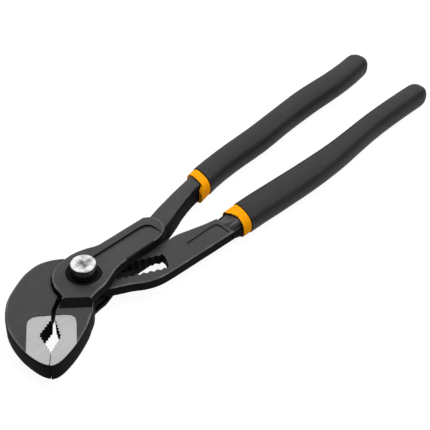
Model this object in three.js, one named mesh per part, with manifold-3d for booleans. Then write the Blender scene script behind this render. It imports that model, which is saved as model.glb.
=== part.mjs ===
// Push-button water pump pliers, 250 mm class, jaws closed at the smallest setting, lying flat on the rear cheek.
// Two forged limbs share a box joint: the slotted limb passes between the two cheeks of the box limb and is held
// by a toothed bolt. Pressing the button lifts the bolt's teeth out of the slot, so that the limb can slide.
// Sizes are in millimetres and angles in degrees. While the pieces are made, the bolt's axis is X = Y = 0,
// the middle of the thickness is Z = 0, +X runs towards the handles and the button stands on the +Z face.
import * as THREE from 'three';
import { mergeVertices } from 'three/addons/utils/BufferGeometryUtils.js';
import Module from 'manifold-3d';

// Thicknesses, measured along the bolt
const PLATE_THICK = 4.8;
const CHEEK_THICK = 3.95;
const JAW_THICK = 8.6;
const SHANK_THICK = 9.4;
const NECK_THICK = 8.8;
const GRIP_THICK = 11.4;

// Clearances
const FIT_GAP = 0.3;
const WINDOW_GAP = 0.4;

// Toothed slot of the slotted limb and the bolt that fits it
const SLOT_ANGLE = -23.5;
const TOOTH_PITCH = 3.05;
const TOOTH_DEPTH = 0.95;
const SLOT_WIDTH = 7.4;
const SLOT_STEPS = 10;
const BOLT_DIAMETER = 10.6;
const NECK_DIAMETER = 6.4;
const PRESS_TRAVEL = 2.4;

// Push button and its spring
const BUTTON_DIAMETER = 10.8;
const BUTTON_STANDS = 5.25;
const BUTTON_WALL = 0.7;
const BUTTON_ROOF = 1.9;
const BUTTON_SOCKET = 0.9;
const BUTTON_DISH = 0.35;
const BUTTON_ROUND = 0.5;
const DISH_DIAMETER = 15.6;
const DISH_DEPTH = 0.65;
const SHELF_THICK = 0.8;
const SPRING_WIRE = 0.6;
const SPRING_TURNS = 4;

// Box joint
const CHEEK_CENTRE = [-0.5, -1.9];
const CHEEK_RADIUS = 14.4;
const SHOULDER_CENTRE = [2.5, 0.4];
const WALL_RADIUS = 14.6;
const HUB_RADIUS = 12;
const WALL_START = 192;
const WALL_END = 255;
const WINDOW_END = 48.5;
const WINDOW_CEILING = 0.6;
const RAMP_RUN = 3.6;
const RIB_DEPTH = 0.8;
const RIB_FADE = 11;

// Jaws: the line that parts them, the pipe notches, their teeth and the ground faces
const PARTING_ANGLE = 230.5;
const PARTING_GAP = 0.3;
const THROAT = [-21, -7];
const SLIT_HEAD = 2;
const SLIT_FOOT = 1.6;
const NOTCH_START = 6;
const NOTCH_END = 22.5;
const UPPER_NOTCH_DEPTH = 4.7;
const LOWER_NOTCH_DEPTH = 3.3;
const JAW_TOOTH_PITCH = 1.75;
const JAW_TOOTH_DEPTH = 0.6;
const GROUND_ANGLE = 233.4;
const GROUND_TOP = [-23.4, -8.8];
const GROUND_WIDTH = 20;
const GROUND_ROUND = 4.5;
const GROUND_DEPTH = 0.25;

// Grips: a core sleeve that shows as a collar, and a cover over the rest of it
const COVER_WALL = 0.9;
const CORE_WALL = 0.8;
const COLLAR_LENGTH = 4.6;
const COLLAR_INSET = 0.3;
const SOCKET_DEPTH = 3;
const SOCKET_RAMP = 0.5;
const UPPER_LEAN = 20;
const LOWER_LEAN = 12;
const UPPER_LIP = 2.2;
const LOWER_LIP = 2.4;
const LIP_TILT = 0.5;
const GRIP_END_ROUND = 6.5;
const GRIP_SQUARENESS = 2.5;
const SHANK_SQUARENESS = 6;
const NECK_SQUARENESS = 3.2;

// Flat shank of the slotted limb: the panel sunk into each face, and the step up to the neck behind it
const PANEL_DEPTH = 0.5;
const PANEL_START = [46.5, -11.6];
const PANEL_END = [64.9, -10.7];
const PANEL_FOOT = -18.8;
const PANEL_ROUND = 2.7;
const NECK_RIM = 0.6;
const NECK_RISE = 6;
const NECK_HALF_WIDTH = 6.1;
const NECK_HEIGHT = -14.6;
const SHANK_FOOT = -20.2;
const SHANK_HEAD = -8.2;

// Edge roundings of the forgings
const CHEEK_ROUND = 1.1;
const JAW_ROUND = 1.1;
const PLATE_ROUND = 0.9;

// Fineness of the round shapes
const SAME_POINT = 0.01;
const CURVE_STEPS = 3;
const ROUND_STEPS = 2;
const LATHE_STEPS = 36;
const RING_POINTS = 24;
const GRIP_RINGS = 16;
const END_RINGS = 5;
const WIRE_SIDES = 6;
const TURN_STEPS = 12;

// The two handles, from the collar's front to the end: where each starts, how far it reaches along X, and its
// stations as shares of that reach, with the centre line's height above the start and half the grip's width
const UPPER_START = [75.6, 15.5];
const UPPER_REACH = 130.6;
const UPPER_STATIONS = [
  [0, 0, 6.9], [0.07, 2.4, 6.6], [0.19, 4.9, 6.6], [0.34, 6.9, 6.8], [0.49, 10, 6.6], [0.645, 12.7, 6.9],
  [0.8, 14.1, 6.6], [0.905, 15.9, 6.3], [1, 18.7, 6.1],
];
const LOWER_START = [72.4, -14.4];
const LOWER_REACH = 137.1;
const LOWER_STATIONS = [
  [0, 0, 7.4], [0.09, 0.7, 7.5], [0.2, 1, 7.5], [0.35, 1.7, 7.2], [0.49, 3.2, 6.5], [0.6, 5.4, 5.9],
  [0.71, 7.5, 5.7], [0.86, 9.2, 5.6], [1, 10.1, 5.5],
];

// Centre line of the bare upper shank in front of its collar: x, y, half width
const UPPER_SHANK = [
  [40, 3.6, 5.8], [44, 5, 5.4], [48, 6.5, 5.3], [53, 8.5, 5], [58, 10.5, 4.5], [63, 12.2, 4.2], [68, 13.7, 4],
];

// Values that follow from the sizes above
const PLATE_HALF = PLATE_THICK / 2;
const CHEEK_INNER = PLATE_HALF + FIT_GAP;
const CHEEK_OUTER = CHEEK_INNER + CHEEK_THICK;
const JAW_HALF = JAW_THICK / 2;
const STEP_RADIUS = CHEEK_RADIUS + WINDOW_GAP;
const BOLT_RADIUS = BOLT_DIAMETER / 2;
const NECK_RADIUS = NECK_DIAMETER / 2;
const BUTTON_RADIUS = BUTTON_DIAMETER / 2;
const BUTTON_TOP = CHEEK_OUTER + BUTTON_STANDS;
const SHELF_TOP = CHEEK_INNER + SHELF_THICK;
const BUTTON_FOOT = SHELF_TOP + PRESS_TRAVEL + FIT_GAP / 3;
const BUTTON_CEILING = BUTTON_TOP - BUTTON_ROOF;
const SLOT_END = SLOT_STEPS * TOOTH_PITCH + BOLT_RADIUS + FIT_GAP / 2;
const CORE_INSET = COVER_WALL + FIT_GAP;
const BORE_INSET = CORE_INSET + CORE_WALL;
const TANG_INSET = BORE_INSET + FIT_GAP;
const NECK_START = PANEL_END[0] + NECK_RIM;
const SHANK_END = NECK_START + NECK_RISE / 4;
const LOWER_NECK = [NECK_START, NECK_START + NECK_RISE].map((x) => [x, NECK_HEIGHT, NECK_HALF_WIDTH]);
const FAR = 60;

const wasm = await Module();
wasm.setup();

// Solids and meshes

function solidOf(geometry) {
  const bare = geometry.clone();
  bare.deleteAttribute('normal');
  bare.deleteAttribute('uv');
  const merged = mergeVertices(bare, 1e-4);
  return new wasm.Manifold(new wasm.Mesh({
    numProp: 3,
    vertProperties: new Float32Array(merged.attributes.position.array),
    triVerts: new Uint32Array(merged.index.array),
  }));
}

function geometryOf(solid) {
  const mesh = solid.getMesh();
  const geometry = new THREE.BufferGeometry();
  geometry.setAttribute('position', new THREE.BufferAttribute(new Float32Array(mesh.vertProperties), 3));
  geometry.setIndex(new THREE.BufferAttribute(new Uint32Array(mesh.triVerts), 1));
  geometry.computeVertexNormals();
  return geometry;
}

function polygon(points) {
  return new THREE.Shape(points.map(([x, y]) => new THREE.Vector2(x, y)));
}

// A plan shape as straight stretches, without points that repeat their neighbour.
function straightened(shape) {
  const points = shape.getPoints(CURVE_STEPS);
  const kept = points.filter((point, i) => point.distanceTo(points[(i + 1) % points.length]) > SAME_POINT);
  return new THREE.Shape(kept);
}

// A plan shape given a thickness, centred on the middle plane, with its edges rounded.
function slab(shape, thickness, round = 0) {
  const geometry = new THREE.ExtrudeGeometry(straightened(shape), {
    depth: thickness - 2 * round,
    bevelEnabled: round > 0,
    bevelThickness: round,
    bevelSize: round,
    bevelOffset: -round,
    bevelSegments: ROUND_STEPS,
  });
  return solidOf(geometry.translate(0, 0, round - thickness / 2));
}

// A plan shape cut from one height to another.
function prism(shape, bottom, top) {
  const geometry = new THREE.ExtrudeGeometry(straightened(shape), { depth: top - bottom, bevelEnabled: false });
  return solidOf(geometry.translate(0, 0, bottom));
}

// A profile of [radius, height] points that starts and ends on the axis, turned about the bolt's axis.
function turned(profile) {
  const points = profile.map(([radius, height]) => new THREE.Vector2(radius, height));
  return solidOf(new THREE.LatheGeometry(points, LATHE_STEPS).rotateX(Math.PI / 2));
}

function disc(radius, bottom, top) {
  return turned([[0, bottom], [radius, bottom], [radius, top], [0, top]]);
}

// A skin stretched over rings of points, closed at the first and the last ring.
function loft(rings) {
  const count = rings[0].length;
  const positions = rings.flat().flatMap((point) => [point.x, point.y, point.z]);
  const index = [];
  for (let i = 0; i < rings.length - 1; i += 1) {
    for (let j = 0; j < count; j += 1) {
      const a = i * count + j;
      const b = i * count + (j + 1) % count;
      index.push(a, b, b + count);
      index.push(a, b + count, a + count);
    }
  }
  const last = (rings.length - 1) * count;
  for (let j = 1; j < count - 1; j += 1) {
    index.push(0, j + 1, j);
    index.push(last, last + j, last + j + 1);
  }
  const geometry = new THREE.BufferGeometry();
  geometry.setAttribute('position', new THREE.BufferAttribute(new Float32Array(positions), 3));
  geometry.setIndex(index);
  geometry.computeVertexNormals();
  return geometry;
}

// Plan points at a distance along the slot and across it, and along the parting line and across it

function turnedBy(degrees) {
  const radians = THREE.MathUtils.degToRad(degrees);
  return new THREE.Vector2(Math.cos(radians), Math.sin(radians));
}

function onCircle(radius, degrees) {
  const direction = turnedBy(degrees);
  return [radius * direction.x, radius * direction.y];
}

function slotPoint(distance, side) {
  const e = turnedBy(SLOT_ANGLE);
  return [distance * e.x - side * e.y, distance * e.y + side * e.x];
}

function jawPoint(distance, side) {
  const a = turnedBy(PARTING_ANGLE);
  return [THROAT[0] + distance * a.x + side * a.y, THROAT[1] + distance * a.y - side * a.x];
}

function splined(shape, points) {
  shape.splineThru(points.map(([x, y]) => new THREE.Vector2(x, y)));
  return shape;
}

// Sections of shanks, tangs and grips

function section(x, y, heading, halfWidth, halfThick, squareness) {
  const ring = [];
  for (let j = 0; j < RING_POINTS; j += 1) {
    const angle = (2 * Math.PI * (j + 0.5)) / RING_POINTS;
    const c = Math.cos(angle);
    const s = Math.sin(angle);
    const across = halfWidth * Math.sign(c) * Math.abs(c) ** (2 / squareness);
    const up = halfThick * Math.sign(s) * Math.abs(s) ** (2 / squareness);
    ring.push(new THREE.Vector3(x - across * heading.y, y + across * heading.x, up));
  }
  return ring;
}

function handleCurve(start, reach, stations) {
  return new THREE.CatmullRomCurve3(stations.map(([share, rise, halfWidth]) => (
    new THREE.Vector3(start[0] + share * reach, start[1] + rise, halfWidth)
  )));
}

// One ring of a grip's outer form, inset evenly, at a distance from the collar's front edge.
function gripRing(curve, distance, inset, squareness = GRIP_SQUARENESS) {
  const length = curve.getLength();
  const u = THREE.MathUtils.clamp(distance / length, 0, 1);
  const point = curve.getPointAt(u);
  const tangent = curve.getTangentAt(u);
  const heading = new THREE.Vector2(tangent.x, tangent.y).normalize();
  const round = GRIP_END_ROUND - inset;
  const left = Math.max(length - inset - distance, 0);
  const drop = left < round ? Math.sqrt(1 - ((round - left) / round) ** 2) : 1;
  const halfWidth = (point.z - inset) * Math.max(drop, 0.25);
  const halfThick = (GRIP_THICK / 2 - inset) * Math.max(drop, 0.25);
  return section(point.x, point.y, heading, halfWidth, halfThick, squareness);
}

// Rings from a start distance to the rounded end, evenly along the grip and then by angle round its end.
function gripRings(curve, start, inset) {
  const end = curve.getLength() - inset;
  const round = GRIP_END_ROUND - inset;
  const rings = [];
  for (let i = 0; i < GRIP_RINGS; i += 1) {
    rings.push(gripRing(curve, THREE.MathUtils.lerp(start, end - round, i / GRIP_RINGS), inset));
  }
  for (let i = 0; i <= END_RINGS; i += 1) {
    const angle = (Math.PI / 2) * (i / END_RINGS);
    rings.push(gripRing(curve, end - round * (1 - Math.sin(angle)), inset));
  }
  return rings;
}

// How far a collar's edge moves back along the handle for each millimetre towards the +Y side.
function slopeOf(collar) {
  return Math.tan(THREE.MathUtils.degToRad(collar.lean));
}

// An edge of the collar. It leans, so that its -Y side is nearer to the jaws. The front edge also has a lip,
// on one half of the side that faces the other handle.
function collarEdge(ring, curve, collar, lip = 0) {
  const start = curve.getPointAt(0);
  const tangent = curve.getTangentAt(0);
  const heading = new THREE.Vector2(tangent.x, tangent.y).normalize();
  return ring.map((point, j) => {
    const angle = (2 * Math.PI * (j + 0.5)) / RING_POINTS;
    const across = (point.y - start.y) * heading.x - (point.x - start.x) * heading.y;
    const share = THREE.MathUtils.smoothstep(-collar.side * Math.cos(angle - LIP_TILT), 0.4, 0.8);
    const move = across * slopeOf(collar) - lip * share;
    return new THREE.Vector3(point.x + move * heading.x, point.y + move * heading.y, point.z);
  });
}

// Where the even rings of a grip can start behind its leaning collar.
function behindCollar(curve, collar) {
  return COLLAR_LENGTH + curve.getPointAt(0).z * slopeOf(collar) + COVER_WALL;
}

// Bare steel from its first station to the socket of the collar, then the tang inside the grip.
function shankAndTang(stations, halfThicks, squareness, curve) {
  const tail = curve.getPointAt((SOCKET_DEPTH - FIT_GAP) / curve.getLength());
  const points = [...stations, [tail.x, tail.y, stations[stations.length - 1][2]]];
  const rings = points.map(([x, y, halfWidth], i) => {
    const before = points[Math.max(i - 1, 0)];
    const after = points[Math.min(i + 1, points.length - 1)];
    const heading = new THREE.Vector2(after[0] - before[0], after[1] - before[1]).normalize();
    return section(x, y, heading, halfWidth, halfThicks[Math.min(i, halfThicks.length - 1)], squareness);
  });
  return solidOf(loft([...rings, ...gripRings(curve, SOCKET_DEPTH + SOCKET_RAMP - FIT_GAP, TANG_INSET)]));
}

// The core sleeve: a bore round the tang, a wider mouth round the shank, and a collar left bare by the cover.
function gripCore(curve, mouthHalfWidth, mouthHalfThick, squareness, collar) {
  const mouth = (distance) => {
    const point = curve.getPointAt(distance / curve.getLength());
    const tangent = curve.getTangentAt(distance / curve.getLength());
    const heading = new THREE.Vector2(tangent.x, tangent.y).normalize();
    return section(
      point.x, point.y, heading, mouthHalfWidth + FIT_GAP, mouthHalfThick + FIT_GAP, squareness,
    );
  };
  return loft([
    ...gripRings(curve, SOCKET_DEPTH + SOCKET_RAMP, BORE_INSET).reverse(),
    mouth(SOCKET_DEPTH),
    collarEdge(mouth(0), curve, collar, collar.lip),
    collarEdge(gripRing(curve, 0, COLLAR_INSET), curve, collar, collar.lip),
    collarEdge(gripRing(curve, COLLAR_LENGTH, COLLAR_INSET), curve, collar),
    collarEdge(gripRing(curve, COLLAR_LENGTH, CORE_INSET), curve, collar),
    ...gripRings(curve, behindCollar(curve, collar), CORE_INSET),
  ]);
}

// The cover sleeve over the rest of the core.
function gripCover(curve, collar) {
  const front = COLLAR_LENGTH + FIT_GAP;
  const start = behindCollar(curve, collar) + FIT_GAP;
  const edge = (inset) => collarEdge(gripRing(curve, front, inset), curve, collar);
  return loft([
    ...gripRings(curve, start, COVER_WALL).reverse(),
    edge(COVER_WALL),
    edge(0),
    ...gripRings(curve, start, 0),
  ]);
}

// Toothed outlines

// The slot's outline, or the bolt's outline that fits it when drawn in by a clearance.
function slotOutline(start, end, drawIn) {
  const tip = SLOT_WIDTH / 2 - drawIn;
  const first = Math.ceil((2 * start) / TOOTH_PITCH);
  const last = Math.floor((2 * end) / TOOTH_PITCH);
  const flank = [];
  for (let half = first; half <= last; half += 1) {
    flank.push([(half * TOOTH_PITCH) / 2, half % 2 === 0 ? tip : tip + TOOTH_DEPTH]);
  }
  const upper = [[start, tip * 0.7], ...flank, [end, tip * 0.7]];
  const lower = upper.map(([distance, side]) => [distance, -side]).reverse();
  return polygon([...upper, ...lower].map(([distance, side]) => slotPoint(distance, side)));
}

// A row of teeth along a straight stretch of a jaw, sunk to the given side of it.
function toothRow(from, to, depth) {
  const length = Math.hypot(to[0] - from[0], to[1] - from[1]);
  const count = Math.round(length / JAW_TOOTH_PITCH);
  const normal = [(from[1] - to[1]) / length, (to[0] - from[0]) / length];
  const row = [from];
  for (let i = 0; i < count; i += 1) {
    for (const [share, sink] of [[i + 0.5, depth], [i + 1, 0]]) {
      const t = share / count;
      row.push([
        THREE.MathUtils.lerp(from[0], to[0], t) + sink * normal[0],
        THREE.MathUtils.lerp(from[1], to[1], t) + sink * normal[1],
      ]);
    }
  }
  return row;
}

// Everything on the far side of a jaw's gripping face: side is +1 for the slotted limb's jaw, -1 for the other.
function beyondGrip(side, notchDepth, throatPoint) {
  const gap = (side * PARTING_GAP) / 2;
  const apex = [(NOTCH_START + NOTCH_END) / 2 - 0.6 * side, side * notchDepth];
  const tipEdge = [NOTCH_END, gap];
  const throatEdge = [NOTCH_START, (side * SLIT_FOOT) / 2];
  const face = [
    [FAR, gap],
    ...toothRow(tipEdge, apex, side * -JAW_TOOTH_DEPTH),
    ...toothRow(apex, throatEdge, side * -JAW_TOOTH_DEPTH).slice(1),
    [0.5, (side * SLIT_HEAD) / 2],
  ].map(([distance, across]) => jawPoint(distance, across));
  return polygon([...face, throatPoint, ...[[-FAR, -side * FAR], [FAR, -side * FAR]].map((p) => jawPoint(...p))]);
}

// The band of both jaws that is ground flat beside the gripping faces.
function groundBand() {
  const down = turnedBy(GROUND_ANGLE);
  const at = (distance, side) => [
    GROUND_TOP[0] + distance * down.x + side * down.y, GROUND_TOP[1] + distance * down.y - side * down.x,
  ];
  const half = GROUND_WIDTH / 2;
  const shape = new THREE.Shape();
  shape.moveTo(...at(FAR, half));
  shape.lineTo(...at(GROUND_ROUND, half));
  shape.quadraticCurveTo(...at(0, half), ...at(0, half - GROUND_ROUND));
  shape.lineTo(...at(0, GROUND_ROUND - half));
  shape.quadraticCurveTo(...at(0, -half), ...at(GROUND_ROUND, -half));
  shape.lineTo(...at(FAR, -half));
  return shape;
}

function groundOff(jaw) {
  const level = JAW_HALF - GROUND_DEPTH;
  return jaw.subtract(prism(groundBand(), level, FAR)).subtract(prism(groundBand(), -FAR, -level));
}

// Slotted limb

function slottedJaw() {
  const shape = new THREE.Shape();
  shape.moveTo(4, 12);
  splined(shape, [
    [-0.5, 15.4], [-5, 17.9], [-10, 19.2], [-15, 18.7], [-20, 17.2], [-30, 11.8], [-35, 7.2], [-40, -0.1],
    [-42.4, -7.2], [-43.4, -14], [-43.4, -19], [-42.6, -25], [-41, -29.2], [-38.2, -31.6],
  ]);
  shape.lineTo(...jawPoint(26, -4));
  shape.lineTo(...jawPoint(0, -4));
  shape.lineTo(-8, -5);
  const step = disc(STEP_RADIUS, -FAR, FAR).translate([...CHEEK_CENTRE, 0]);
  const shoulder = disc(CHEEK_RADIUS, -FAR, FAR).translate([...SHOULDER_CENTRE, 0]);
  const jaw = slab(shape, JAW_THICK, JAW_ROUND).subtract(step).subtract(shoulder);
  return groundOff(jaw.subtract(prism(beyondGrip(1, UPPER_NOTCH_DEPTH, [-14, -1.1]), -FAR, FAR)));
}

function slottedPlate() {
  const lowerEdge = -(SLOT_WIDTH / 2 + TOOTH_DEPTH + 3.4);
  const upperEdge = SLOT_WIDTH / 2 + TOOTH_DEPTH + 4.7;
  const shape = new THREE.Shape();
  shape.moveTo(...onCircle(HUB_RADIUS, 94));
  shape.lineTo(...onCircle(STEP_RADIUS, 97));
  splined(shape, [[-10, 16.5], [-20, 13], [-26, 5], [-24, -3]]);
  shape.lineTo(-16, -2.3);
  shape.lineTo(...slotPoint(-12, lowerEdge));
  shape.lineTo(...slotPoint(4, lowerEdge));
  splined(shape, [[6, -12.3], [12.9, -15.5], [18.1, -18.6], [24, -20.5], [31, -20.9], [45, -20.7]]);
  shape.lineTo(SHANK_END, SHANK_FOOT);
  shape.lineTo(SHANK_END, SHANK_HEAD);
  splined(shape, [[60, -7.2], [54, -5.9], [46, -4.3], [38, -4.6]]);
  shape.lineTo(...slotPoint(27, upperEdge));
  const reach = THREE.MathUtils.radToDeg(Math.acos(upperEdge / HUB_RADIUS));
  const join = 90 + SLOT_ANGLE - reach;
  shape.lineTo(...onCircle(HUB_RADIUS, join));
  shape.absarc(0, 0, HUB_RADIUS, THREE.MathUtils.degToRad(join), THREE.MathUtils.degToRad(94), false);
  return slab(shape, PLATE_THICK, PLATE_ROUND);
}

function shankPanel() {
  const [startX, startY] = PANEL_START;
  const [endX, endY] = PANEL_END;
  const shape = new THREE.Shape();
  shape.moveTo(startX, startY);
  shape.lineTo(endX - PANEL_ROUND, endY);
  shape.quadraticCurveTo(endX, endY, endX, endY - PANEL_ROUND);
  shape.lineTo(endX, PANEL_FOOT);
  shape.lineTo(startX - PANEL_ROUND / 2, PANEL_FOOT);
  shape.quadraticCurveTo(startX - PANEL_ROUND, startY - PANEL_ROUND, startX, startY);
  return shape;
}

function slottedLimb(curve) {
  const halfThicks = [PLATE_HALF - FIT_GAP, NECK_THICK / 2];
  let limb = slottedPlate().add(slottedJaw());
  const floor = PLATE_HALF - PANEL_DEPTH;
  limb = limb.subtract(prism(shankPanel(), floor, FAR)).subtract(prism(shankPanel(), -FAR, -floor));
  limb = limb.add(shankAndTang(LOWER_NECK, halfThicks, NECK_SQUARENESS, curve));
  return limb.subtract(prism(slotOutline(-BOLT_RADIUS - FIT_GAP, SLOT_END, 0), -FAR, FAR));
}

// Box limb

function cheekShape() {
  const shape = new THREE.Shape();
  shape.moveTo(40.2, 10.5);
  shape.lineTo(15.5, 9.7);
  splined(shape, [[13, 10.2], [10, 11.3], [6, 12.3], [2.5, 12.6]]);
  shape.absarc(
    ...CHEEK_CENTRE, CHEEK_RADIUS, THREE.MathUtils.degToRad(85), THREE.MathUtils.degToRad(185), false,
  );
  shape.lineTo(-15.3, -5.2);
  shape.lineTo(-21, -9.2);
  shape.lineTo(-10.6, -18.6);
  shape.lineTo(-9, -17);
  shape.lineTo(-6.3, -13.9);
  splined(shape, [
    [-2.3, -12.7], [1.7, -11.9], [4.7, -10.7], [7.8, -9.2], [10.4, -7.9], [13.5, -6.9], [17, -6.3], [25, -5.6],
    [34, -5.1], [38, -4.4], [41.7, -2.7], [43.9, 0], [44.8, 4], [43.6, 8], [40.2, 10.5],
  ]);
  return shape;
}

function lowerJaw() {
  const shape = new THREE.Shape();
  shape.moveTo(-14.8, -3.8);
  shape.lineTo(...jawPoint(0, 4));
  shape.lineTo(...jawPoint(27, 4));
  shape.lineTo(-41.6, -29.8);
  splined(shape, [
    [-38.4, -31.4], [-35.3, -31.5], [-31.2, -30.5], [-26.4, -28.8], [-21.6, -26.5], [-16.4, -23.6], [-13.1, -21.1],
    [-9.8, -18.6], [-7.4, -16], [-5.2, -13],
  ]);
  shape.lineTo(-2, -8);
  shape.lineTo(-8, -2);
  const jaw = slab(shape, JAW_THICK, JAW_ROUND);
  return groundOff(jaw.subtract(prism(beyondGrip(-1, LOWER_NOTCH_DEPTH, [-15, -4.4]), -FAR, FAR)));
}

// What the rear cheek lacks along its lower edge, beside the jaw.
function rearTrim() {
  const shape = new THREE.Shape();
  shape.moveTo(-9, -15.3);
  splined(shape, [[-5, -12.2], [-1.5, -11.1], [2.2, -10.5], [5.2, -9.5], [8.5, -8.2], [12, -7]]);
  shape.lineTo(12, -20);
  shape.lineTo(-9, -20);
  return prism(shape, -FAR, -CHEEK_INNER);
}

// The wedge that slopes each cheek down to the jaw in front of it.
function rampCut(face) {
  const drop = CHEEK_OUTER - JAW_HALF;
  const profile = polygon([
    [-RAMP_RUN / 2, CHEEK_OUTER + drop / 2], [RAMP_RUN, JAW_HALF], [FAR, JAW_HALF], [FAR, CHEEK_OUTER + drop / 2],
  ]);
  const geometry = new THREE.ExtrudeGeometry(profile, { depth: 2 * FAR, bevelEnabled: false });
  geometry.translate(0, 0, -FAR);
  const down = turnedBy(PARTING_ANGLE);
  const basis = new THREE.Matrix4().makeBasis(
    new THREE.Vector3(down.x, down.y, 0),
    new THREE.Vector3(0, 0, 1),
    new THREE.Vector3(down.y, -down.x, 0),
  );
  basis.setPosition(-10.8, -9.95, 0);
  const solid = solidOf(geometry.applyMatrix4(basis));
  return face > 0 ? solid : solid.mirror([0, 0, 1]);
}

// The space between the cheeks that the slotted limb moves through.
function windowShape() {
  const hub = HUB_RADIUS + WINDOW_GAP;
  const shape = new THREE.Shape();
  shape.moveTo(...onCircle(WALL_RADIUS, WALL_START));
  shape.absarc(
    0, 0, WALL_RADIUS, THREE.MathUtils.degToRad(WALL_START), THREE.MathUtils.degToRad(WALL_END), false,
  );
  shape.lineTo(-2.5, -20);
  shape.lineTo(0, -FAR);
  shape.lineTo(WINDOW_END, -FAR);
  shape.lineTo(WINDOW_END, WINDOW_CEILING);
  shape.lineTo(43.6, WINDOW_CEILING);
  shape.lineTo(41, 5.8);
  shape.lineTo(13, 6.2);
  shape.lineTo(...onCircle(hub, 30));
  shape.absarc(0, 0, hub, THREE.MathUtils.degToRad(30), THREE.MathUtils.degToRad(44), false);
  shape.lineTo(9, FAR);
  shape.lineTo(-FAR, FAR);
  shape.lineTo(-FAR, -2.6);
  shape.lineTo(-16, -2.9);
  return shape;
}

// The face of the front cheek falls away below a rib along its upper edge.
function ribCut() {
  const shape = new THREE.Shape();
  shape.moveTo(6, 0);
  shape.lineTo(35, 1.3);
  shape.quadraticCurveTo(40, 1.4, 40, -3.6);
  shape.lineTo(40, -2 * RIB_FADE);
  shape.lineTo(6, -2 * RIB_FADE);
  const geometry = new THREE.ExtrudeGeometry(straightened(shape), { depth: FAR, bevelEnabled: false });
  geometry.rotateX(-Math.atan(RIB_DEPTH / RIB_FADE));
  return solidOf(geometry.translate(0, 4.9, CHEEK_OUTER - RIB_DEPTH));
}

function boltBore() {
  const bore = BUTTON_RADIUS + FIT_GAP;
  const dish = DISH_DIAMETER / 2;
  const dishFloor = CHEEK_OUTER - DISH_DEPTH;
  const front = turned([
    [0, SHELF_TOP], [bore, SHELF_TOP], [bore, dishFloor], [bore + (dish - bore) * 0.4, dishFloor],
    [dish, CHEEK_OUTER], [dish, FAR], [0, FAR],
  ]);
  const neck = disc(NECK_RADIUS + FIT_GAP, 0, FAR);
  const rear = disc(BOLT_RADIUS + FIT_GAP, -FAR, 0);
  return front.add(neck).add(rear);
}

function boxLimb(curve) {
  let limb = slab(cheekShape(), 2 * CHEEK_OUTER, CHEEK_ROUND);
  limb = limb.subtract(rampCut(1)).subtract(rampCut(-1));
  limb = limb.subtract(ribCut()).subtract(rearTrim());
  limb = limb.add(lowerJaw());
  limb = limb.add(shankAndTang(UPPER_SHANK, [SHANK_THICK / 2], SHANK_SQUARENESS, curve));
  limb = limb.subtract(prism(windowShape(), -CHEEK_INNER, CHEEK_INNER));
  return limb.subtract(boltBore());
}

// Bolt, button and spring

function pivotBolt() {
  const guideTop = -CHEEK_INNER;
  const guideFoot = -(CHEEK_OUTER - PRESS_TRAVEL - FIT_GAP / 2);
  const teethTop = guideTop + PRESS_TRAVEL;
  const drawIn = FIT_GAP * Math.hypot(1, (2 * TOOTH_DEPTH) / TOOTH_PITCH);
  const teeth = prism(slotOutline(-SLOT_END, SLOT_END, drawIn), guideTop - 0.1, teethTop);
  const chamfer = 0.4;
  const body = turned([
    [0, guideFoot], [BOLT_RADIUS - chamfer, guideFoot], [BOLT_RADIUS, guideFoot + chamfer],
    [BOLT_RADIUS, guideTop], [0, guideTop],
  ]);
  const neck = disc(NECK_RADIUS, guideTop, BUTTON_CEILING + BUTTON_SOCKET - FIT_GAP);
  return body.add(teeth.intersect(disc(BOLT_RADIUS, guideTop - 1, teethTop + 1))).add(neck);
}

function pushButton() {
  const inner = BUTTON_RADIUS - BUTTON_WALL;
  const socket = NECK_RADIUS + FIT_GAP;
  const ceiling = BUTTON_CEILING + BUTTON_SOCKET;
  return turned([
    [0, ceiling], [socket, ceiling], [socket, BUTTON_CEILING], [inner, BUTTON_CEILING], [inner, BUTTON_FOOT],
    [BUTTON_RADIUS, BUTTON_FOOT], [BUTTON_RADIUS, BUTTON_TOP - BUTTON_ROUND],
    [BUTTON_RADIUS - BUTTON_ROUND * 0.3, BUTTON_TOP - BUTTON_ROUND * 0.3],
    [BUTTON_RADIUS - BUTTON_ROUND, BUTTON_TOP], [BUTTON_RADIUS - 2 * BUTTON_ROUND, BUTTON_TOP],
    [BUTTON_RADIUS / 2, BUTTON_TOP - BUTTON_DISH * 0.75], [0, BUTTON_TOP - BUTTON_DISH],
  ]);
}

function buttonSpring() {
  const coil = (NECK_RADIUS + BUTTON_RADIUS - BUTTON_WALL) / 2;
  const bottom = SHELF_TOP + FIT_GAP + SPRING_WIRE / 2;
  const top = BUTTON_CEILING - FIT_GAP - SPRING_WIRE / 2;
  const rings = [];
  for (let i = 0; i <= SPRING_TURNS * TURN_STEPS; i += 1) {
    const angle = (2 * Math.PI * i) / TURN_STEPS;
    const height = THREE.MathUtils.lerp(bottom, top, i / (SPRING_TURNS * TURN_STEPS));
    const out = new THREE.Vector3(Math.cos(angle), Math.sin(angle), 0);
    const ring = [];
    for (let j = 0; j < WIRE_SIDES; j += 1) {
      const turn = (2 * Math.PI * j) / WIRE_SIDES;
      const reach = coil + (SPRING_WIRE / 2) * Math.cos(turn);
      const rise = height + (SPRING_WIRE / 2) * Math.sin(turn);
      ring.push(new THREE.Vector3(out.x * reach, out.y * reach, rise));
    }
    rings.push(ring.reverse());
  }
  console.log(`least gap between spring turns: ${((top - bottom) / SPRING_TURNS - SPRING_WIRE).toFixed(2)} mm`);
  return loft(rings);
}

// Assembly

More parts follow.
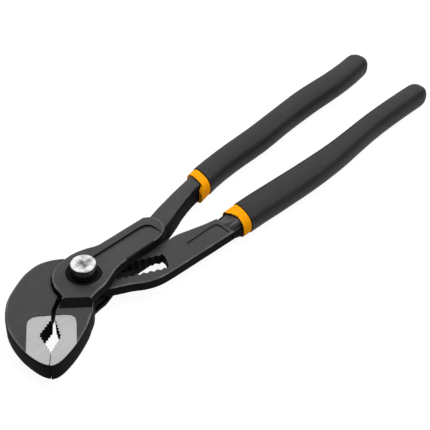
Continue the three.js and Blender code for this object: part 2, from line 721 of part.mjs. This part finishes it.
const BLACK_STEEL = new THREE.MeshStandardMaterial({ color: 0x303032, roughness: 0.5, metalness: 0.6 });
const BRIGHT_STEEL = new THREE.MeshStandardMaterial({ color: 0xc9c9c7, roughness: 0.25, metalness: 1 });
const SPRING_STEEL = new THREE.MeshStandardMaterial({ color: 0x8d8f92, roughness: 0.35, metalness: 1 });
const ORANGE_VINYL = new THREE.MeshStandardMaterial({ color: 0xf79a0c, roughness: 0.45, metalness: 0 });
const BLACK_VINYL = new THREE.MeshStandardMaterial({ color: 0x1f1f20, roughness: 0.55, metalness: 0 });

const pliers = new THREE.Group();

function place(name, geometry, material) {
  const mesh = new THREE.Mesh(geometry, material);
  mesh.name = name;
  pliers.add(mesh);
}

const upper = handleCurve(UPPER_START, UPPER_REACH, UPPER_STATIONS);
const lower = handleCurve(LOWER_START, LOWER_REACH, LOWER_STATIONS);
const upperCollar = { side: 1, lean: UPPER_LEAN, lip: UPPER_LIP };
const lowerCollar = { side: -1, lean: LOWER_LEAN, lip: LOWER_LIP };
const upperMouth = UPPER_SHANK[UPPER_SHANK.length - 1][2];
const lowerMouth = LOWER_NECK[LOWER_NECK.length - 1][2];

place('box_limb', geometryOf(boxLimb(upper)), BLACK_STEEL);
place('slotted_limb', geometryOf(slottedLimb(lower)), BLACK_STEEL);
place('pivot_bolt', geometryOf(pivotBolt()), BRIGHT_STEEL);
place('push_button', geometryOf(pushButton()), BRIGHT_STEEL);
place('button_spring', buttonSpring(), SPRING_STEEL);
place('upper_grip_core', gripCore(upper, upperMouth, SHANK_THICK / 2, SHANK_SQUARENESS, upperCollar), ORANGE_VINYL);
place('upper_grip_cover', gripCover(upper, upperCollar), BLACK_VINYL);
place('lower_grip_core', gripCore(lower, lowerMouth, NECK_THICK / 2, NECK_SQUARENESS, lowerCollar), ORANGE_VINYL);
place('lower_grip_cover', gripCover(lower, lowerCollar), BLACK_VINYL);

// The part's own origin: the middle of its box, on the surface that it lies on.
const box = new THREE.Box3().setFromObject(pliers);
const middle = box.getCenter(new THREE.Vector3());
pliers.position.set(-middle.x, -middle.y, -box.min.z);

export default pliers;
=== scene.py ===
"""Push-button water pump pliers on a white studio floor, seen from the photograph's angle."""

import math

import bmesh
import bpy
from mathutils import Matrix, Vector


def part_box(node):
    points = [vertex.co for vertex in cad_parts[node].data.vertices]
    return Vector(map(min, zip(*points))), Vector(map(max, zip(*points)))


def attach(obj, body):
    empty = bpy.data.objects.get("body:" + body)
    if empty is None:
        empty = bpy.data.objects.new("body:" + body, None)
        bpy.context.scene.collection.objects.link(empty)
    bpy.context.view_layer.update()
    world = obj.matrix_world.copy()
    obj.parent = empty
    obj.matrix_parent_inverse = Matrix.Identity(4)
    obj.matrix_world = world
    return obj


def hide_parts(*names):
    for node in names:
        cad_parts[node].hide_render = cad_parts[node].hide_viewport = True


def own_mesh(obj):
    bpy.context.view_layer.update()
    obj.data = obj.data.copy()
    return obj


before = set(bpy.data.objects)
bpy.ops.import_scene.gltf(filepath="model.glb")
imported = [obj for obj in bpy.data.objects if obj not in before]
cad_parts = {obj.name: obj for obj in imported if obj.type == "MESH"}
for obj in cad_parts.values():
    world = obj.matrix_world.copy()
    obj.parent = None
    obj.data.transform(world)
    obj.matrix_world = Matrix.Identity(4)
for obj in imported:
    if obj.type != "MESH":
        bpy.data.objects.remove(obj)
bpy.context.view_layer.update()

MM = 0.001

# Camera, measured from the middle of the button's top: where it stands, where it looks, and its lens
CAMERA_OFFSET = Vector((-208.6, -313.1, 358.3)) * MM
CAMERA_LOOK = Vector((0.4996, 0.5548, -0.6652))
CAMERA_LENS = 104.65
CAMERA_SENSOR = 36.0
CAMERA_REACH = 20.0

# Lamps: name, direction from the tool, distance, size, and power
LAMPS = (
    ("back_softbox", (0.5, 0.56, 0.62), 1.5, (2.4, 1.6), 22.0),
    ("top_strip", (0.12, 0.14, 0.98), 1.2, (1.6, 0.2), 3.5),
    ("ridge_strip", (0.5, -0.43, 0.75), 1.2, (1.4, 0.16), 6.5),
)
WORLD_STRENGTH = 0.22

# Floor: its size, its tone for the light, and the glow and tone that the camera and reflections see
FLOOR_SIZE = 8.0
FLOOR_TONE = 0.5
FLOOR_GLOW = 0.92
FLOOR_SHADE = 0.16

# Levels above the floor: of the jaws' ground faces, and of the bottom of the dish around the button, which
# takes a painted shade
GROUND_LEVELS = (2.6 * MM, 10.7 * MM)
DISH_LEVELS = (12.65 * MM,)
LEVEL_TOLERANCE = 0.03 * MM

# Slopes, as the upright part of the normal: of a flank and of a level face, between which the painted shade
# fades, of a true flat, and of the facet of a rounded edge, which takes a painted highlight
FLANK_NORMAL = 0.89
LEVEL_NORMAL = 0.95
FLAT_NORMAL = 0.999
ROUND_FACET = math.cos(math.radians(22.5))
FACET_TOLERANCE = 0.01

# Edges of the machined and moulded pieces
STEEL_CREASE = math.radians(24)
VINYL_CREASE = math.radians(45)
EDGE_ANGLE = math.radians(45)
STEEL_EDGE = 0.22 * MM
VINYL_EDGE = 0.25 * MM
EDGE_SEGMENTS = 2

# Points this close are one point, and facets this close in angle are one face
WELD_DISTANCE = 0.002 * MM
SAME_FACE = math.radians(0.6)

# Material slots of the limbs: the ground faces, the painted highlight on rounded edges, and the painted
# shade in the dish
GROUND_SLOT = 1
HIGHLIGHT_SLOT = 2
SHADE_SLOT = 3

# The limbs' black finish: lit on level faces, a painted shade on flanks, a painted highlight on rounded
# edges, and the contrast of its random mottle
LIT_BLACK = (0.03, 0.03, 0.031)
PAINTED_SHADE_BLACK = (0.007, 0.007, 0.0073)
EDGE_HIGHLIGHT_BLACK = (0.1, 0.1, 0.1)
BLACK_MOTTLE_CONTRAST = 0.15
FLANK_SPECULAR = 0.08
LEVEL_SPECULAR = 0.22
FLANK_ROUGHNESS = 0.8
LEVEL_ROUGHNESS = 0.43

# Bare steels
GROUND_GREY = (0.33, 0.33, 0.326)
SCRATCH_STRETCH = (0.08, 1.0, 1.0)
SCRATCH_ANGLE = math.radians(40)
POLISHED_GREY = (0.46, 0.46, 0.455)
CLOUDED_GREY = (0.09, 0.09, 0.09)
WIRE_GREY = (0.27, 0.28, 0.29)

# The darker middle of the button's top: its radius, and what is added to its blotches from the middle
# outwards
DARK_MIDDLE_RADIUS = 4.6 * MM
MIDDLE_SHIFT = -0.14
RIM_SHIFT = 0.2

# Roughness of the button's side as a share of its top's
SIDE_POLISH = 0.3

# Vinyls
DEEP_ORANGE = (0.97, 0.36, 0.002)
PALE_ORANGE = (1.0, 0.4, 0.003)
DEEP_BLACK = (0.013, 0.013, 0.0134)
PALE_BLACK = (0.017, 0.017, 0.0175)
PEEL_ROUGHNESS = 0.05

# Depths of the finest relief
GRAIN_DEPTH = 0.02 * MM
SCRATCH_DEPTH = 0.006 * MM
PEEL_DEPTH = 0.03 * MM

# Where noise begins and ends to count
NOISE_LOW = 0.35
NOISE_HIGH = 0.65


# Materials

def new_material(name, colour, roughness=0.5, metallic=0.0, specular=0.5):
    material = bpy.data.materials.new(name)
    material.use_nodes = True
    shader = material.node_tree.nodes["Principled BSDF"]
    shader.inputs["Base Color"].default_value = (*colour, 1.0)
    shader.inputs["Roughness"].default_value = roughness
    shader.inputs["Metallic"].default_value = metallic
    shader.inputs["Specular IOR Level"].default_value = specular
    return material, shader


def math_node(material, operation, first, second):
    tree = material.node_tree
    node = tree.nodes.new("ShaderNodeMath")
    node.operation = operation
    tree.links.new(first, node.inputs[0])
    tree.links.new(second, node.inputs[1])
    return node.outputs["Value"]


def place_on_piece(material):
    return material.node_tree.nodes.new("ShaderNodeTexCoord").outputs["Object"]


def noise(material, place, scale, detail):
    tree = material.node_tree
    node = tree.nodes.new("ShaderNodeTexNoise")
    node.inputs["Scale"].default_value = scale
    node.inputs["Detail"].default_value = detail
    tree.links.new(place, node.inputs["Vector"])
    return node.outputs["Fac"]


def ramp_between(material, source, low, high, start=NOISE_LOW, end=NOISE_HIGH):
    """A value from low to high where the source runs from start to end."""
    tree = material.node_tree
    node = tree.nodes.new("ShaderNodeMapRange")
    node.inputs["From Min"].default_value = start
    node.inputs["From Max"].default_value = end
    node.inputs["To Min"].default_value = low
    node.inputs["To Max"].default_value = high
    tree.links.new(source, node.inputs["Value"])
    return node.outputs["Result"]


def mottle(material, source, low, high, start=NOISE_LOW, end=NOISE_HIGH):
    """A colour from low to high where the source runs from start to end."""
    tree = material.node_tree
    node = tree.nodes.new("ShaderNodeValToRGB")
    node.color_ramp.elements[0].position = start
    node.color_ramp.elements[0].color = (*low, 1.0)
    node.color_ramp.elements[1].position = end
    node.color_ramp.elements[1].color = (*high, 1.0)
    tree.links.new(source, node.inputs["Fac"])
    return node.outputs["Color"]


def bump(material, shader, source, depth, strength):
    tree = material.node_tree
    node = tree.nodes.new("ShaderNodeBump")
    node.inputs["Distance"].default_value = depth
    node.inputs["Strength"].default_value = strength
    tree.links.new(source, node.inputs["Height"])
    tree.links.new(node.outputs["Normal"], shader.inputs["Normal"])


def by_level(material, on_flank, on_level):
    """A value that runs from on_flank on steep faces to on_level on level faces, read from the upright part
    of the shading normal.
    """
    tree = material.node_tree
    place = tree.nodes.new("ShaderNodeTexCoord")
    split = tree.nodes.new("ShaderNodeSeparateXYZ")
    upright = tree.nodes.new("ShaderNodeMath")
    upright.operation = "ABSOLUTE"
    tree.links.new(place.outputs["Normal"], split.inputs["Vector"])
    tree.links.new(split.outputs["Z"], upright.inputs[0])
    return ramp_between(
        material, upright.outputs["Value"], on_flank, on_level, FLANK_NORMAL, LEVEL_NORMAL,
    )


def black_steel():
    """Forged steel with a thin black finish, rougher on the flanks and satin on the level faces, with a
    painted shade that darkens the flanks.
    """
    material, shader = new_material("black_steel", LIT_BLACK)
    tree = material.node_tree
    place = place_on_piece(material)
    cloud = noise(material, place, scale=90, detail=4)
    grain = noise(material, place, scale=2600, detail=2)
    dark = [(1 - BLACK_MOTTLE_CONTRAST) * part for part in LIT_BLACK]
    pale = [(1 + BLACK_MOTTLE_CONTRAST) * part for part in LIT_BLACK]
    # Painted shade: the flanks take a darker black than the level faces
    blend = tree.nodes.new("ShaderNodeMix")
    blend.data_type = "RGBA"
    blend.inputs["A"].default_value = (*PAINTED_SHADE_BLACK, 1.0)
    tree.links.new(by_level(material, 0.0, 1.0), blend.inputs["Factor"])
    tree.links.new(mottle(material, cloud, dark, pale), blend.inputs["B"])
    tree.links.new(blend.outputs["Result"], shader.inputs["Base Color"])
    specular = by_level(material, FLANK_SPECULAR, LEVEL_SPECULAR)
    tree.links.new(specular, shader.inputs["Specular IOR Level"])
    tree.links.new(by_level(material, FLANK_ROUGHNESS, LEVEL_ROUGHNESS), shader.inputs["Roughness"])
    bump(material, shader, grain, GRAIN_DEPTH, strength=0.4)
    return material


def painted_shade_material():
    """Painted shade: the dark black of the flanks, for the bottom of the dish around the button."""
    material, _ = new_material("painted_shade_material", PAINTED_SHADE_BLACK, FLANK_ROUGHNESS, specular=FLANK_SPECULAR)
    return material


def painted_edge_highlight():
    """A painted highlight on the rounded edges of the forgings, lighter in noisy patches."""
    material, shader = new_material("painted_edge_highlight", LIT_BLACK, roughness=0.4, specular=0.35)
    patch = noise(material, place_on_piece(material), scale=160, detail=3)
    edge_highlight = mottle(material, patch, LIT_BLACK, EDGE_HIGHLIGHT_BLACK, start=0.4, end=0.7)
    material.node_tree.links.new(edge_highlight, shader.inputs["Base Color"])
    return material


def ground_steel():
    """The jaws' faces, ground flat: bright, with fine scratches along one direction."""
    material, shader = new_material("ground_steel", GROUND_GREY, metallic=1.0)
    tree = material.node_tree
    stretch = tree.nodes.new("ShaderNodeMapping")
    stretch.inputs["Scale"].default_value = SCRATCH_STRETCH
    stretch.inputs["Rotation"].default_value = (0.0, 0.0, SCRATCH_ANGLE)
    tree.links.new(place_on_piece(material), stretch.inputs["Vector"])
    scratch = noise(material, stretch.outputs["Vector"], scale=700, detail=3)
    tree.links.new(ramp_between(material, scratch, 0.48, 0.54), shader.inputs["Roughness"])
    bump(material, shader, scratch, SCRATCH_DEPTH, strength=0.2)
    return material


def polished_steel():
    """The button: a bright polished side, and a top that is darker and blotchy towards its middle."""
    material, shader = new_material("polished_steel", POLISHED_GREY, metallic=1.0)
    tree = material.node_tree
    low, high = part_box("push_button")
    place = place_on_piece(material)
    reach = tree.nodes.new("ShaderNodeVectorMath")
    reach.operation = "DISTANCE"
    reach.inputs[1].default_value = ((low.x + high.x) / 2, (low.y + high.y) / 2, high.z)
    tree.links.new(place, reach.inputs[0])
    outwards = ramp_between(
        material, reach.outputs["Value"], MIDDLE_SHIFT, RIM_SHIFT, start=0.0, end=DARK_MIDDLE_RADIUS,
    )
    blotch = math_node(material, "ADD", noise(material, place, scale=420, detail=5), outwards)
    clouded = mottle(material, blotch, CLOUDED_GREY, POLISHED_GREY, start=0.34, end=0.74)
    tree.links.new(clouded, shader.inputs["Base Color"])
    polish = by_level(material, SIDE_POLISH, 1.0)
    roughness = math_node(material, "MULTIPLY", ramp_between(material, blotch, 0.4, 0.2), polish)
    tree.links.new(roughness, shader.inputs["Roughness"])
    return material


def spring_steel():
    material, _ = new_material("spring_wire", WIRE_GREY, roughness=0.35, metallic=1.0)
    return material


def vinyl(name, deep, pale, roughness, specular):
    """Dipped vinyl: a soft satin skin with a slight orange peel."""
    material, shader = new_material(name, pale, specular=specular)
    links = material.node_tree.links
    place = place_on_piece(material)
    cloud = noise(material, place, scale=60, detail=3)
    peel = noise(material, place, scale=1500, detail=2)
    links.new(mottle(material, cloud, deep, pale), shader.inputs["Base Color"])
    links.new(
        ramp_between(material, peel, roughness - PEEL_ROUGHNESS, roughness + PEEL_ROUGHNESS),
        shader.inputs["Roughness"],
    )
    bump(material, shader, peel, PEEL_DEPTH, strength=0.6)
    return material


# Pieces

def dressed(node, body, materials, crease, edge=0.0):
    """A copy of a CAD node with smooth round faces and small broken edges, in its place."""
    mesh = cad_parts[node].data.copy()
    mesh.materials.clear()
    for material in materials:
        mesh.materials.append(material)
    work = bmesh.new()
    work.from_mesh(mesh)
    bmesh.ops.remove_doubles(work, verts=work.verts, dist=WELD_DISTANCE)
    bmesh.ops.dissolve_limit(work, angle_limit=SAME_FACE, verts=work.verts, edges=work.edges)
    work.normal_update()
    for face in work.faces:
        face.material_index = 0
        face.smooth = True
    for border in work.edges:
        border.smooth = border.calc_face_angle(0.0) < crease
    work.to_mesh(mesh)
    work.free()
    piece = bpy.data.objects.new(node + "_shown", mesh)
    bpy.context.scene.collection.objects.link(piece)
    if edge > 0:
        bevel = piece.modifiers.new("broken_edges", "BEVEL")
        bevel.width = edge
        bevel.segments = EDGE_SEGMENTS
        bevel.limit_method = "ANGLE"
        bevel.angle_limit = EDGE_ANGLE
    flat = piece.modifiers.new("flat_faces", "WEIGHTED_NORMAL")
    flat.keep_sharp = True
    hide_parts(node)
    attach(piece, body)
    return piece


def paint_flats(piece, levels, slot):
    """The flat faces at the levels take the material of the slot."""
    for face in piece.data.polygons:
        flat = abs(face.normal.z) > FLAT_NORMAL
        if flat and any(abs(face.center.z - level) < LEVEL_TOLERANCE for level in levels):
            face.material_index = slot


def paint_edge_highlights(piece):
    """The facets of the rounded edges next to the level faces take the painted highlight."""
    for face in piece.data.polygons:
        if abs(abs(face.normal.z) - ROUND_FACET) < FACET_TOLERANCE:
            face.material_index = HIGHLIGHT_SLOT


def build_pieces():
    steel = black_steel()
    bright = ground_steel()
    edge_highlight = painted_edge_highlight()
    shade_paint = painted_shade_material()
    polished = polished_steel()
    orange = vinyl("orange_vinyl", DEEP_ORANGE, PALE_ORANGE, roughness=0.6, specular=0.02)
    black = vinyl("black_vinyl", DEEP_BLACK, PALE_BLACK, roughness=0.52, specular=0.2)
    for node, body in (("box_limb", "box_side"), ("slotted_limb", "slotted_side")):
        limb = dressed(node, body, [steel, bright, edge_highlight, shade_paint], STEEL_CREASE, STEEL_EDGE)
        paint_flats(limb, GROUND_LEVELS, GROUND_SLOT)
        # Painted shade on the bottom of the dish around the button
        paint_flats(limb, DISH_LEVELS, SHADE_SLOT)
        # Painted highlight on the facets of the rounded edges
        paint_edge_highlights(limb)
    for side, body in (("upper", "box_side"), ("lower", "slotted_side")):
        core = dressed(side + "_grip_core", body, [orange], VINYL_CREASE, VINYL_EDGE)
        cover = dressed(side + "_grip_cover", body, [black], VINYL_CREASE, VINYL_EDGE)
    for node in ("push_button", "pivot_bolt"):
        piece = dressed(node, "button", [polished], STEEL_CREASE)
    build_spring()


def build_spring():
    """The coil on the pivot, with a mesh of its own; it stands on a shelf."""
    coil = dressed("button_spring", "pivot", [spring_steel()], VINYL_CREASE)
    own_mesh(coil)


# Studio

def diffuse(tree, tone):
    node = tree.nodes.new("ShaderNodeBsdfDiffuse")
    node.inputs["Color"].default_value = (tone, tone, tone, 1.0)
    return node.outputs["BSDF"]


def build_floor():
    """A white floor: white to the camera and in reflections, with a faint shadow, and pale to the light."""
    bpy.ops.mesh.primitive_plane_add(size=FLOOR_SIZE, location=(0, 0, 0))
    floor = bpy.context.object
    floor.name = "studio_floor"
    material = bpy.data.materials.new("studio_floor")
    material.use_nodes = True
    tree = material.node_tree
    tree.nodes.clear()
    out = tree.nodes.new("ShaderNodeOutputMaterial")
    rays = tree.nodes.new("ShaderNodeLightPath").outputs
    mirrored = math_node(material, "MAXIMUM", rays["Is Glossy Ray"], rays["Is Transmission Ray"])
    seen = math_node(material, "MAXIMUM", rays["Is Camera Ray"], mirrored)
    glow = tree.nodes.new("ShaderNodeEmission")
    glow.inputs["Strength"].default_value = FLOOR_GLOW
    white = tree.nodes.new("ShaderNodeAddShader")
    tree.links.new(diffuse(tree, FLOOR_SHADE), white.inputs[0])
    tree.links.new(glow.outputs["Emission"], white.inputs[1])
    mix = tree.nodes.new("ShaderNodeMixShader")
    tree.links.new(seen, mix.inputs["Fac"])
    tree.links.new(diffuse(tree, FLOOR_TONE), mix.inputs[1])
    tree.links.new(white.outputs["Shader"], mix.inputs[2])
    tree.links.new(mix.outputs["Shader"], out.inputs["Surface"])
    floor.data.materials.append(material)


def softbox(name, direction, distance, size, power):
    """A rectangular lamp that faces the middle of the floor."""
    light = bpy.data.lights.new(name, "AREA")
    light.shape = "RECTANGLE"
    light.size, light.size_y = size
    light.energy = power
    lamp = bpy.data.objects.new(name, light)
    bpy.context.scene.collection.objects.link(lamp)
    lamp.location = Vector(direction).normalized() * distance
    lamp.rotation_euler = (-lamp.location).to_track_quat("-Z", "Y").to_euler()


def build_light():
    """A large softbox behind the tool, which its level faces mirror to the camera, and two strips above it.

    The strip on the camera's side lights the ridges of the grips.
    """
    for lamp in LAMPS:
        softbox(*lamp)
    world = bpy.data.worlds.new("studio")
    world.use_nodes = True
    shade = world.node_tree.nodes["Background"]
    shade.inputs["Color"].default_value = (1.0, 1.0, 1.0, 1.0)
    shade.inputs["Strength"].default_value = WORLD_STRENGTH
    bpy.context.scene.world = world


def build_camera():
    low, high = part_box("push_button")
    button_top = Vector(((low.x + high.x) / 2, (low.y + high.y) / 2, high.z))
    data = bpy.data.cameras.new("photo_camera")
    data.sensor_width = CAMERA_SENSOR
    data.lens = CAMERA_LENS
    data.clip_end = CAMERA_REACH
    camera = bpy.data.objects.new("photo_camera", data)
    bpy.context.scene.collection.objects.link(camera)
    camera.location = button_top + CAMERA_OFFSET
    camera.rotation_euler = CAMERA_LOOK.to_track_quat("-Z", "Y").to_euler()
    bpy.context.scene.camera = camera


build_pieces()
build_floor()
build_light()
build_camera()
bpy.context.scene.view_settings.view_transform = "Standard"
